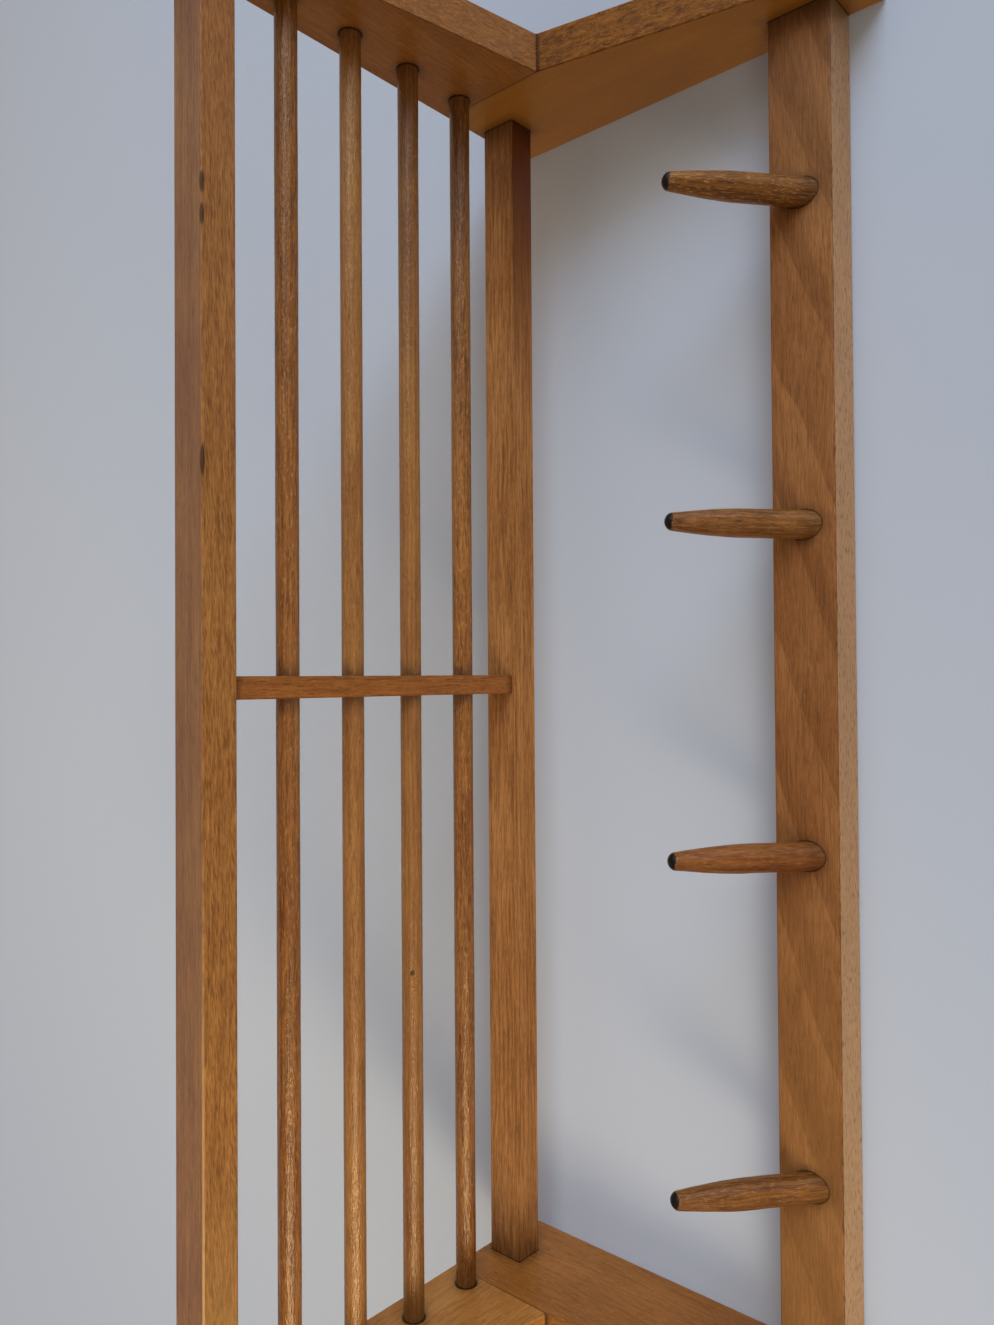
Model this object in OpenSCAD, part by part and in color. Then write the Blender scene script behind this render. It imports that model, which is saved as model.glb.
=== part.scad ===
// Beech wall coat rack with a hat shelf.
// Two tapered end frames carry two shelf rails with four round rods between them,
// and a lower rail with four turned pegs. The frame is the wall plane at y = 0, the rack
// stands out toward -Y, +X runs along the wall and +Z is up. The origin lies midway
// between the keyholes of the two hanger plates.

/* [Overall] */
// Length along the wall, over the two end frames
rack_w = 800; // [640:5:1100]
// Depth from the wall to the tips of the shelf arms
rack_d = 300; // [260:1:360]
// Height from the top edge to the tips of the wall arms
rack_h = 260; // [230:1:320]

/* [End frames] */
// Thickness of the boards of the end frames
arm_t = 24; // [20:0.5:32]
// Width of a wall arm at the corner, from the wall to the glue joint
corner_w = 78; // [66:1:92]
// Height of a shelf arm at the glue joint
corner_h = 76; // [66:1:92]
// Width of a wall arm at its lower tip
wall_tip_w = 36; // [30:1:48]
// Height of a shelf arm at its front tip
shelf_tip_h = 33; // [32:0.5:44]
// Rounding of the long arrises
edge_ease = 1; // [0.6:0.1:2.4]
// Rounding of the outline at the tips and at the top back corner
tip_ease = 2.5; // [1:0.1:5]

/* [Shelf rails] */
// Thickness of the two shelf rails, out from the wall
rail_t = 20; // [17:0.5:24]
// Height of the two shelf rails
rail_h = 25; // [22:0.5:27]
// Step from the top edge of the arms down to the rails
rail_drop = 5.5; // [3:0.5:7]
// Gap between the wall and the back rail
back_rail_gap = 28.5; // [20:0.5:34]
// Distance of the front rail behind the tips of the shelf arms
front_rail_setback = 18; // [12:0.5:26]

/* [Peg rail] */
// Thickness of the peg rail
peg_rail_t = 26; // [24:0.5:30]
// Height of the peg rail
peg_rail_h = 37; // [34:0.5:44]
// Height of the peg rail above the tips of the wall arms
peg_rail_lift = 20.5; // [12:0.5:40]

/* [Rods] */
// Diameter of the shelf rods
rod_d = 12.6; // [10:0.1:14]
// Depth of the rods' axes below the top edge of the arms
rod_drop = 19.6; // [16:0.1:21]
// Depth of the blind holes that hold the rods
rod_seat = 12; // [8:0.5:15]
// Play of a rod in its hole, on the diameter
rod_play = 0.5; // [0.2:0.1:0.8]

/* [Centre batten] */
// Width of the batten along the rack
batten_w = 12; // [8:0.5:18]
// Height of the batten
batten_h = 18; // [16:0.5:20]
// Wood left under the rods where they pass through the batten
batten_web = 1.4; // [1:0.1:3]
// Offset of the batten from the rack's middle, toward the right
batten_shift = 1.4; // [-10:0.1:10]
// Gap between each end of the batten and its rail
batten_gap = 0.3; // [0.1:0.1:0.6]

/* [Pegs] */
// Diameter of a peg where it leaves the rail
peg_d = 16; // [13:0.5:18]
// Diameter of a peg just behind its domed end
peg_tip_d = 10; // [8:0.5:12]
// Length of a peg outside the rail, along its axis
peg_reach = 80; // [55:1:100]
// Length over which a peg keeps its full diameter
peg_straight = 38; // [20:1:48]
// Length of the domed end
peg_dome = 4.5; // [3:0.5:6]
// Depth of a peg in the rail, along its axis
peg_seat = 15; // [11:0.5:17]
// Angle of the pegs above the horizontal
peg_rise = 38; // [25:1:40]
// Distance from the inside of each end frame to the nearest peg
peg_margin = 103; // [80:1:140]
// How far the two middle pegs stand off their even places, toward the right
middle_peg_shift = -2; // [-4:0.5:4]
// Play of a peg in its hole, on the diameter
peg_play = 0.3; // [0.2:0.1:0.6]

/* [Hangers] */
// Depth of the keyholes below the top edge of the arms
hanger_drop = 45; // [40:1:70]
// Width of a hanger plate
plate_w = 16; // [14:0.5:18]
// Length of a hanger plate
plate_l = 46; // [44:1:60]
// Thickness of a hanger plate
plate_t = 2; // [1.5:0.1:2.5]
// Diameter of the round entry of a keyhole
keyhole_d = 9; // [8:0.5:10]
// Width of the slot above the entry
slot_w = 4.5; // [4:0.1:5.5]
// Rise from the entry's centre to the slot's upper centre
slot_rise = 11; // [9:0.5:13]
// Depth of the pocket for the head of the wall screw
pocket_depth = 9; // [6:0.5:12]
// Diameter of the screws that hold a plate
screw_d = 3; // [2.5:0.1:3.5]
// Diameter of their countersunk heads
screw_head_d = 6; // [5.5:0.1:6.5]
// Length of these screws
screw_l = 16; // [12:1:20]

/* [Hidden pins] */
// Diameter of the glued pins in the corners and at the peg rail
pin_d = 8; // [6:0.5:9]
// Length of these pins
pin_l = 36; // [30:1:40]
// Diameter of the pins in the ends of the shelf rails
rail_pin_d = 6; // [5:0.5:7]
// Length of these pins
rail_pin_l = 30; // [24:1:34]
// Play of a pin in its hole, on the diameter
pin_play = 0.2; // [0.1:0.1:0.4]
// Spare depth at each end of a pin
pin_end_play = 0.8; // [0.4:0.1:0.9]

/* [Hidden] */

LEFT = -1;
RIGHT = 1;
ROD_COUNT = 4;
PEG_COUNT = 4;
// Flat facets in one rounded arris
EASE_STEPS = 3;
// How far a cutter runs past the wood that it cuts
OVER = 2;
ROUND_FN = 64;

// Heights are z and depths are y; the wood lies at negative y
top_z = hanger_drop;
tip_z = top_z - rack_h;
inner_x = rack_w / 2 - arm_t;

rail_top_z = top_z - rail_drop;
rail_z = rail_top_z - rail_h / 2;
back_rail_y = -(back_rail_gap + rail_t / 2);
front_rail_y = -(rack_d - front_rail_setback - rail_t / 2);
peg_rail_z = tip_z + peg_rail_lift + peg_rail_h / 2;

// The rods leave equal gaps between the two rails
rod_z = top_z - rod_drop;
shelf_gap_back = back_rail_y - rail_t / 2;
shelf_gap_front = front_rail_y + rail_t / 2;
rod_gap = (shelf_gap_back - shelf_gap_front - ROD_COUNT * rod_d) / (ROD_COUNT + 1);
function rod_y(i) = shelf_gap_back - i * rod_gap - (i - 0.5) * rod_d;
rod_hole_d = rod_d + rod_play;
rod_end_play = 0.5;
batten_bottom_z = rod_z - rod_hole_d / 2 - batten_web;

// The pegs stand between the two outer ones, at distances that are not quite even
peg_spacing = 2 * (inner_x - peg_margin) / (PEG_COUNT - 1);
function peg_x(i) = (i - (PEG_COUNT + 1) / 2) * peg_spacing
    + (i > 1 && i < PEG_COUNT ? middle_peg_shift : 0);
peg_hole_d = peg_d + peg_play;
peg_end_play = 0.3;

// Hanger plates, let into the back edges of the wall arms
hanger_x = inner_x + arm_t / 2;
plate_z = slot_rise / 2;
// From each end of a plate to its screw
plate_screw_margin = 6.5;
plate_screw_z = plate_l / 2 - plate_screw_margin;
plate_play = 0.15;
screw_play = 0.3;
head_h = (screw_head_d - screw_d) / 2;
head_play = 0.1;
pocket_w = keyhole_d + 2;

// Glued pins, bevelled at their ends; the upper corner pins keep clear of the rods
pin_bevel = 0.8;
corner_pin_margin = 7;
corner_pin_upper_z = rod_z - rod_hole_d / 2 - corner_pin_margin - pin_d / 2;
corner_pin_lower_z = top_z - corner_h + 2 * pin_d;
pin_hole_d = pin_d + pin_play;

// The outline of a wall arm in y and z, counter-clockwise as seen from +X
function wall_arm_outline() = [
    [-corner_w, top_z],
    [-corner_w, top_z - corner_h],
    [-wall_tip_w, tip_z],
    [0, tip_z],
    [0, top_z]];
// Which of its corners are rounded
wall_arm_corners = [0, 0, tip_ease, edge_ease, tip_ease];
// How far the rounding of its arrises runs on past the two ends of each side, each side running
// from its own corner to the next; the side at the glue joint stays sharp
wall_arm_sides = [[], [0, 0], [0, 0], [0, 0], [0, OVER]];

// The outline of a shelf arm, from its top back corner at the joint
function shelf_arm_outline() = [
    [-corner_w, top_z],
    [-rack_d, top_z],
    [-rack_d, top_z - shelf_tip_h],
    [-corner_w, top_z - corner_h]];
shelf_arm_corners = [0, tip_ease, tip_ease, 0];
shelf_arm_sides = [[OVER, 0], [0, 0], [0, OVER], []];

// A corner at p between its neighbours, rounded with radius r by straight steps
function rounded_corner(before, p, after, r, steps = 5) =
    let (u = (before - p) / norm(before - p), v = (after - p) / norm(after - p),
        half = acos(u * v) / 2, mid = (u + v) / norm(u + v),
        centre = p + mid * r / sin(half), from = p + u * r / tan(half) - centre,
        to = p + v * r / tan(half) - centre, sweep = 180 - 2 * half)
    r == 0 ? [p] : [for (i = [0:steps]) let (a = sweep * i / steps)
        centre + (from * sin(sweep - a) + to * sin(a)) / sin(sweep)];

function rounded_outline(points, radii) = [for (i = [0:len(points) - 1])
    each rounded_corner(points[(i + len(points) - 1) % len(points)], points[i],
        points[(i + 1) % len(points)], radii[i])];

// The waste of a rounded arris: a corner at the origin, wood toward +x and +y. The first and the
// last facet run on out of the wood, so that the cut leaves no steps.
function arris_point(r, i) = r * [1 - sin(90 * i / EASE_STEPS), 1 - cos(90 * i / EASE_STEPS)];
function arris_waste(r) =
    let (lead = arris_point(r, 0) + (arris_point(r, 0) - arris_point(r, 1)) * OVER / r)
    concat([[-OVER, -OVER], lead], [for (i = [1:EASE_STEPS - 1]) arris_point(r, i)],
        [[lead[1], lead[0]]]);

// Takes the arrises off a board of thickness t along the side from p to q, and on past its ends
module ease_side(p, q, past, t) {
    run = norm(q - p) + past[0] + past[1];
    for (face = [0, 1])
        translate(p)
            rotate(atan2(q[1] - p[1], q[0] - p[0]))
                translate([-past[0], 0, face * t])
                    mirror([0, 0, face])
                        rotate([90, 0, 90])
                            linear_extrude(run)
                                polygon(arris_waste(edge_ease));
}

// A board cut to an outline in y and z, from the inner face of an end frame outward
module board(points, radii, sides, side) {
    last = len(points) - 1;
    mirror([side == LEFT ? 1 : 0, 0, 0])
        translate([inner_x, 0, 0])
            rotate([90, 0, 90])
                difference() {
                    linear_extrude(arm_t)
                        polygon(rounded_outline(points, radii));
                    for (i = [0:last])
                        if (len(sides[i]) > 0)
                            ease_side(points[i], points[(i + 1) % len(points)], sides[i], arm_t);
                }
}

// A bar of rounded section between the end frames, centred on y and z
module bar(y, z, depth, height) {
    translate([-inner_x, y, z])
        rotate([90, 0, 90])
            linear_extrude(2 * inner_x)
                rounded_section(depth, height);
}

module rounded_section(depth, height) {
    corner = [depth / 2, height / 2];
    difference() {
        square([depth, height], center = true);
        for (sx = [0, 1], sy = [0, 1])
            mirror([sx, 0])
                mirror([0, sy])
                    translate(-corner)
                        polygon(arris_waste(edge_ease));
    }
}

// A rod along X through the point at y and z
module round_along_x(x0, x1, y, z, d) {
    translate([x0, y, z])
        rotate([0, 90, 0])
            cylinder(h = x1 - x0, d = d, $fn = ROUND_FN);
}

// A pin of diameter d along X, centred on x, with bevelled ends
module pin_along_x(x, y, z, d, length) {
    translate([x - length / 2, y, z])
        rotate([0, 90, 0])
            rotate_extrude($fn = ROUND_FN)
                polygon([[0, 0], [d / 2 - pin_bevel, 0], [d / 2, pin_bevel],
                    [d / 2, length - pin_bevel], [d / 2 - pin_bevel, length], [0, length]]);
}

function rail_pin_zs(z, height) = [z - height / 4, z + height / 4];

// Pairs of pins in both ends of a rail
module end_pins(y, z, height, d, length) {
    for (side = [LEFT, RIGHT], pz = rail_pin_zs(z, height))
        pin_along_x(side * inner_x, y, pz, d, length);
}

// The holes for these pins, on one side of the rack
module end_pin_holes(side, y, z, height, d, length) {
    reach = length / 2 + pin_end_play;
    for (pz = rail_pin_zs(z, height))
        round_along_x(side * inner_x - reach, side * inner_x + reach, y, pz, d + pin_play);
}

module corner_pin(side, z) {
    translate([side * hanger_x, -corner_w, z])
        rotate([0, 0, 90])
            pin_along_x(0, 0, 0, pin_d, pin_l);
}

module corner_pin_holes(side) {
    reach = pin_l / 2 + pin_end_play;
    for (z = [corner_pin_upper_z, corner_pin_lower_z])
        translate([side * hanger_x, -corner_w + reach, z])
            rotate([90, 0, 0])
                cylinder(h = 2 * reach, d = pin_hole_d, $fn = ROUND_FN);
}

// The outline of a hanger plate with round ends
module plate_outline(play) {
    straight = plate_l / 2 - plate_w / 2;
    for (end = [-1, 1])
        translate([0, end * straight])
            circle(d = plate_w + 2 * play, $fn = ROUND_FN);
    square([plate_w + 2 * play, 2 * straight], center = true);
}

// The pocket behind a keyhole, long enough for the screw head to slide up
module pocket_outline() {
    for (z = [0, slot_rise])
        translate([0, z])
            circle(d = pocket_w, $fn = ROUND_FN);
    translate([-pocket_w / 2, 0])
        square([pocket_w, slot_rise]);
}

// Lays an outline of x and z on the wall plane and gives it a depth into the wood
module into_wood(side, start, depth) {
    translate([side * hanger_x, -start, 0])
        rotate([90, 0, 0])
            linear_extrude(depth)
                children();
}

// Everything that the hanger plate needs cut into a wall arm
module hanger_recess(side) {
    into_wood(side, -OVER, plate_t + OVER)
        translate([0, plate_z])
            plate_outline(plate_play);
    into_wood(side, 0, plate_t + pocket_depth)
        pocket_outline();
    for (end = [-1, 1])
        into_wood(side, 0, screw_l + screw_play)
            translate([0, plate_z + end * plate_screw_z])
                circle(d = screw_d + screw_play, $fn = ROUND_FN);
}

// The wall arm runs the full height; the shelf arm is pinned to its front edge
module wall_arm(side) {
    color("#9a6838")
        difference() {
            board(wall_arm_outline(), wall_arm_corners, wall_arm_sides, side);
            hanger_recess(side);
            corner_pin_holes(side);
            end_pin_holes(side, back_rail_y, rail_z, rail_h, rail_pin_d, rail_pin_l);
            end_pin_holes(side, -peg_rail_t / 2, peg_rail_z, peg_rail_h, pin_d, pin_l);
        }
}

module shelf_arm(side) {
    color("#a06d3a")
        difference() {
            board(shelf_arm_outline(), shelf_arm_corners, shelf_arm_sides, side);
            corner_pin_holes(side);
            end_pin_holes(side, front_rail_y, rail_z, rail_h, rail_pin_d, rail_pin_l);
            mirror([side == LEFT ? 1 : 0, 0, 0])
                for (i = [1:ROD_COUNT])
                    round_along_x(inner_x - OVER, inner_x + rod_seat, rod_y(i), rod_z, rod_hole_d);
        }
}

module wall_arm_left() {
    wall_arm(LEFT);
}

module wall_arm_right() {
    wall_arm(RIGHT);
}

module shelf_arm_left() {
    shelf_arm(LEFT);
}

module shelf_arm_right() {
    shelf_arm(RIGHT);
}

module shelf_rail(y) {
    color("#94622f")
        difference() {
            bar(y, rail_z, rail_t, rail_h);
            for (side = [LEFT, RIGHT])
                end_pin_holes(side, y, rail_z, rail_h, rail_pin_d, rail_pin_l);
        }
}

module front_rail() {
    shelf_rail(front_rail_y);
}

module back_rail() {
    shelf_rail(back_rail_y);
}

// The pegs leave the middle of the rail's front face and rise at their angle. Their holes are
// cut on past that face, so that each slanting rim is whole.
module at_peg(i) {
    translate([peg_x(i), -peg_rail_t, peg_rail_z])
        rotate([90 - peg_rise, 0, 0])
            children();
}

module peg_rail() {
    color("#9c6a38")
        difference() {
            bar(-peg_rail_t / 2, peg_rail_z, peg_rail_t, peg_rail_h);
            for (side = [LEFT, RIGHT])
                end_pin_holes(side, -peg_rail_t / 2, peg_rail_z, peg_rail_h, pin_d, pin_l);
            for (i = [1:PEG_COUNT])
                at_peg(i)
                    translate([0, 0, -peg_seat])
                        cylinder(h = peg_seat + peg_hole_d, d = peg_hole_d, $fn = ROUND_FN);
        }
}

// A short bar across the shelf that keeps the long rods in line
module centre_batten() {
    color("#8f5c2c")
        difference() {
            translate([batten_shift, shelf_gap_back - batten_gap, batten_bottom_z + batten_h / 2])
                rotate([90, 0, 0])
                    linear_extrude(shelf_gap_back - shelf_gap_front - 2 * batten_gap)
                        rounded_section(batten_w, batten_h);
            for (i = [1:ROD_COUNT])
                round_along_x(batten_shift - batten_w, batten_shift + batten_w, rod_y(i), rod_z,
                    rod_hole_d);
        }
}

module shelf_rod(i) {
    reach = inner_x + rod_seat - rod_end_play;
    color("#a8743c")
        round_along_x(-reach, reach, rod_y(i), rod_z, rod_d);
}

module shelf_rod_1() {
    shelf_rod(1);
}

module shelf_rod_2() {
    shelf_rod(2);
}

module shelf_rod_3() {
    shelf_rod(3);
}

module shelf_rod_4() {
    shelf_rod(4);
}

// Radius of a peg at a share u of its taper: a full shoulder that falls away to the tip, more
// so with a higher power
PEG_FULLNESS = 1.45;
function peg_taper(u) = peg_tip_d / 2 + (peg_d - peg_tip_d) / 2 * (1 - pow(u, PEG_FULLNESS));

// A turned peg along z from its inner end to its domed tip
module coat_peg(i) {
    taper_steps = 10;
    dome_steps = 6;
    taper_l = peg_reach - peg_straight - peg_dome;
    inner_end = peg_end_play - peg_seat;
    color("#8c5a2e")
        at_peg(i)
            rotate_extrude($fn = ROUND_FN)
                polygon(concat(
                    [[0, inner_end], [peg_d / 2, inner_end]],
                    [for (k = [0:taper_steps]) let (u = k / taper_steps)
                        [peg_taper(u), peg_straight + u * taper_l]],
                    [for (k = [1:dome_steps]) let (a = 90 * k / dome_steps)
                        [k == dome_steps ? 0 : peg_tip_d / 2 * cos(a),
                            peg_reach - peg_dome + peg_dome * sin(a)]]));
}

module coat_peg_1() {
    coat_peg(1);
}

module coat_peg_2() {
    coat_peg(2);
}

module coat_peg_3() {
    coat_peg(3);
}

module coat_peg_4() {
    coat_peg(4);
}

// A flush steel plate with a keyhole and two countersunk holes
module hanger_plate(side) {
    color("#9b978c")
        difference() {
            into_wood(side, 0, plate_t)
                difference() {
                    translate([0, plate_z])
                        plate_outline(0);
                    circle(d = keyhole_d, $fn = ROUND_FN);
                    translate([0, slot_rise])
                        circle(d = slot_w, $fn = ROUND_FN);
                    translate([-slot_w / 2, 0])
                        square([slot_w, slot_rise]);
                    for (end = [-1, 1])
                        translate([0, plate_z + end * plate_screw_z])
                            circle(d = screw_d + screw_play, $fn = ROUND_FN);
                }
            for (end = [-1, 1])
                translate([side * hanger_x, 0, plate_z + end * plate_screw_z])
                    rotate([90, 0, 0])
                        translate([0, 0, -head_play])
                            cylinder(h = head_h + 2 * head_play, d1 = screw_head_d + 4 * head_play,
                                d2 = screw_d, $fn = ROUND_FN);
        }
}

module hanger_plate_left() {
    hanger_plate(LEFT);
}

module hanger_plate_right() {
    hanger_plate(RIGHT);
}

// A countersunk wood screw, head first, along the wood's depth
module hanger_screw(side, end) {
    point_l = 3;
    translate([side * hanger_x, 0, plate_z + end * plate_screw_z])
        rotate([90, 0, 0])
            rotate_extrude($fn = ROUND_FN)
                polygon([[0, 0], [screw_head_d / 2, 0], [screw_d / 2, head_h],
                    [screw_d / 2, screw_l - point_l], [0, screw_l]]);
}

module hanger_screws() {
    color("#8a8579")
        for (side = [LEFT, RIGHT], end = [-1, 1])
            hanger_screw(side, end);
}

module corner_pins() {
    color("#c09a66")
        for (side = [LEFT, RIGHT], z = [corner_pin_upper_z, corner_pin_lower_z])
            corner_pin(side, z);
}

module front_rail_pins() {
    color("#c09a66")
        end_pins(front_rail_y, rail_z, rail_h, rail_pin_d, rail_pin_l);
}

module back_rail_pins() {
    color("#c09a66")
        end_pins(back_rail_y, rail_z, rail_h, rail_pin_d, rail_pin_l);
}

module peg_rail_pins() {
    color("#c09a66")
        end_pins(-peg_rail_t / 2, peg_rail_z, peg_rail_h, pin_d, pin_l);
}

wall_arm_left();
wall_arm_right();
shelf_arm_left();
shelf_arm_right();
front_rail();
back_rail();
peg_rail();
centre_batten();
shelf_rod_1();
shelf_rod_2();
shelf_rod_3();
shelf_rod_4();
coat_peg_1();
coat_peg_2();
coat_peg_3();
coat_peg_4();
hanger_plate_left();
hanger_plate_right();
hanger_screws();
corner_pins();
front_rail_pins();
back_rail_pins();
peg_rail_pins();
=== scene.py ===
"""Looks of the beech coat rack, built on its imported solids.

Lengths are in metres. The wall plane is y = 0, the rack stands out toward -Y, +X runs along the
wall and +Z is up. The boards keep their solids; the rods, the pegs and the plate screws get a
finer turned form.
"""

import math

import bpy
from mathutils import Euler, Matrix, Vector


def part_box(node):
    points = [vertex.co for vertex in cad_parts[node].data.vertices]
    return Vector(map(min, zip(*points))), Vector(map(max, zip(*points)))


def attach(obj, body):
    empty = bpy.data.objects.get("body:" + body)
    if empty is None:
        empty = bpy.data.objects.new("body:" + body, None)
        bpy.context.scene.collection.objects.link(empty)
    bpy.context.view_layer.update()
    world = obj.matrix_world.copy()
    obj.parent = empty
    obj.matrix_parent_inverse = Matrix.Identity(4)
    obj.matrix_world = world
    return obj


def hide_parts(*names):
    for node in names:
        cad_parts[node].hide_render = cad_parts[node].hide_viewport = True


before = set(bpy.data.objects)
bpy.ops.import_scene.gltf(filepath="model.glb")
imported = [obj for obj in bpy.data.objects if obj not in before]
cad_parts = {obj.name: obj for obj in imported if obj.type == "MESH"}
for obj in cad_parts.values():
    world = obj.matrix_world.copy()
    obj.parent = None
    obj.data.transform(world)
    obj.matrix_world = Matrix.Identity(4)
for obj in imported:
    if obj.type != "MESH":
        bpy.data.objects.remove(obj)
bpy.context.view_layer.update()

MM = 0.001
scene = bpy.context.scene

# Places that several pieces share, read from the solids
rail_low, rail_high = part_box("front_rail")
back_rail_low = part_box("back_rail")[0]
peg_rail_low, peg_rail_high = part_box("peg_rail")
batten_low, batten_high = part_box("centre_batten")
screw_low, screw_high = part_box("hanger_screws")
rod_boxes = [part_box(f"shelf_rod_{number}") for number in range(1, 5)]
peg_boxes = [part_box(f"coat_peg_{number}") for number in range(1, 5)]
INNER_X = rail_high.x  # the arms' inner faces
JOINT_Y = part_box("wall_arm_left")[0].y  # the glue joint of the arms
BATTEN_X = (batten_low.x + batten_high.x) / 2
BATTEN_HALF = (batten_high.x - batten_low.x) / 2
ROD_YS = [(low.y + high.y) / 2 for low, high in rod_boxes]
ROD_Z = (rod_boxes[0][0].z + rod_boxes[0][1].z) / 2
ROD_R = (rod_boxes[0][1].z - rod_boxes[0][0].z) / 2
PEG_XS = [(low.x + high.x) / 2 for low, high in peg_boxes]
PEG_R = (peg_boxes[0][1].x - peg_boxes[0][0].x) / 2
PEG_MOUTH_Y = peg_rail_low.y
PEG_MOUTH_Z = (peg_rail_low.z + peg_rail_high.z) / 2
PEG_RISE = 38  # degrees above level
PEG_TURN = (math.radians(90 - PEG_RISE), 0.0, 0.0)
PEG_REACH = 0.080  # from the mouth of its hole to its end


# Small helpers
def shade(hex_code):
    """An sRGB hex colour as the linear one that Blender works with."""
    parts = [int(hex_code[i:i + 2], 16) / 255 for i in (1, 3, 5)]
    return tuple(c / 12.92 if c <= 0.04045 else ((c + 0.055) / 1.055) ** 2.4 for c in parts) + (1.0,)


def add(tree, kind, inputs=None, **settings):
    """Adds a node with its settings. An input is a constant, or a socket to link from, or a node,
    whose first output is then linked. A Mix node takes two colours at 6 and 7 and gives one at 2."""
    made = tree.nodes.new(kind)
    for name, value in settings.items():
        setattr(made, name, value)
    for key, value in (inputs or {}).items():
        if isinstance(value, bpy.types.Node):
            value = value.outputs[0]
        if isinstance(value, bpy.types.NodeSocket):
            tree.links.new(value, made.inputs[key])
        else:
            made.inputs[key].default_value = value
    return made


def new_material(name):
    """An empty node material with its output node."""
    material = bpy.data.materials.new(name)
    material.use_nodes = True
    material.node_tree.nodes.clear()
    output = material.node_tree.nodes.new("ShaderNodeOutputMaterial")
    return material, material.node_tree, output


def fade(tree, value, none_at, full_at, most=1.0):
    """A mask that grows smoothly from 0 at one value to the most at another."""
    limits = {"Value": value, "From Min": none_at, "From Max": full_at, "To Max": most}
    return add(tree, "ShaderNodeMapRange", limits, interpolation_type="SMOOTHSTEP")


def greatest(tree, masks):
    """The greatest of several masks."""
    found = masks[0]
    for mask in masks[1:]:
        found = add(tree, "ShaderNodeMath", {0: found, 1: mask}, operation="MAXIMUM")
    return found


def distance(tree, here, centre, weights):
    """How far a point is from a centre, with each axis weighted."""
    off = add(tree, "ShaderNodeVectorMath", {0: here, 1: centre}, operation="SUBTRACT")
    weighted = add(tree, "ShaderNodeVectorMath", {0: off, 1: weights}, operation="MULTIPLY")
    return add(tree, "ShaderNodeVectorMath", {0: weighted}, operation="LENGTH").outputs["Value"]


def off_middle(tree, here, middle=0.0):
    """The distance along the wall from x = middle."""
    x = add(tree, "ShaderNodeSeparateXYZ", {0: here}).outputs["X"]
    off = add(tree, "ShaderNodeMath", {0: x, 1: middle}, operation="SUBTRACT")
    return add(tree, "ShaderNodeMath", {0: off}, operation="ABSOLUTE")


# Beech
# Old beech under amber satin varnish. The growth rings are cylinders about the pith of the log,
# which lies beside or below each board. The rays are short ribbons that run out from the pith:
# where a face cuts across them they are the fine dark dashes that beech is known by, and where a
# face lies along them they are faint patches.
FIBRE_MM = 0.6  # width of a bundle of fibres, drawn coarser than the real 0.1 mm so that it shows
STREAK_MM = 1.9  # width of the darker streaks that the fibres gather into
BRIGHT_MM = 0.8  # width of the bright flecks: pale fibres, and painted glints of the varnish
RAY_HIGH_MM = 8.0  # a ray along the grain, drawn longer than the real 4 mm
RAY_WIDE_MM = 0.66  # its thickness; the real 0.2 mm would be lost in the render
RAY_DEEP_MM = 9.0  # its run away from the pith

# What darkens the wood, in this order: each tint multiplies the colour
DARK_TINTS = {"late wood": "#d3c8b6", "dark years": "#c9bba4", "streaks": "#aa9a80", "fibres": "#a8987e",
              "checks": "#6b4520", "rays": "#997a50", "end grain": "#a3927c"}
# the dark brown of dents, knots and joints, which painted shade takes too
GRIME_AND_SHADE_TINT = "#4b3a28"

# A look: the wood's two colours; the years' width and the darkness of late wood (ring) and of whole
# years (figure, every few as band says); the darkness of streaks, fibres, checks, rays and arrises
# and how many rays there are; how far in mm the grain wanders and ripples; how the rings lean and
# the rays slant; the rays' distance from the pith; roughness and gloss of the varnish; the share
# and width of flames, and of the bright flecks (pale fibres and painted glints) with their colour; the
# height of the ripples
BEECH = {
    "pale": "#a8733c", "mellow": "#976230", "ring_mm": 2.6, "ring": 0.5, "band": 0.3, "figure": 0.3,
    "streak": 0.7, "fibre": 0.7, "check": 0.0, "rays": 0.7, "ray_dark": 0.6, "arris": 0.4,
    "wander": 4.0, "ripple": 1.0, "lean": 0.0, "slant": 0.05, "pith_mm": 60.0, "rough": 0.44,
    "gloss": 0.3, "flame": 0.4, "flame_mm": 1.5, "bright": 0.2, "glint": "#b98a4e", "fleck": 1.6}

ALONG_X = (0.0, 0.0, 0.0)
ALONG_Y = (0.0, 0.0, math.radians(90))
ALONG_Z = (0.0, math.radians(-90), 0.0)


def drawn_out(tree, mm, length, width, detail, outlet="Fac"):
    """Noise drawn out along the grain to this length and width in millimetres."""
    shares = (1 / length, 1 / width, 1 / width)
    scaled = add(tree, "ShaderNodeVectorMath", {0: mm, 1: shares}, operation="MULTIPLY")
    noise = {"Vector": scaled, "Scale": 1.0, "Detail": detail, "Roughness": 0.55}
    return add(tree, "ShaderNodeTexNoise", noise).outputs[outlet]


def pushed(tree, mm, noise, amount):
    """The coordinates pushed across the grain by a coloured noise."""
    centred = add(tree, "ShaderNodeVectorMath", {0: noise, 1: (0.5, 0.5, 0.5)}, operation="SUBTRACT")
    across = {0: centred, 1: (0.0, amount, amount), 2: mm}
    return add(tree, "ShaderNodeVectorMath", across, operation="MULTIPLY_ADD")


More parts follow.
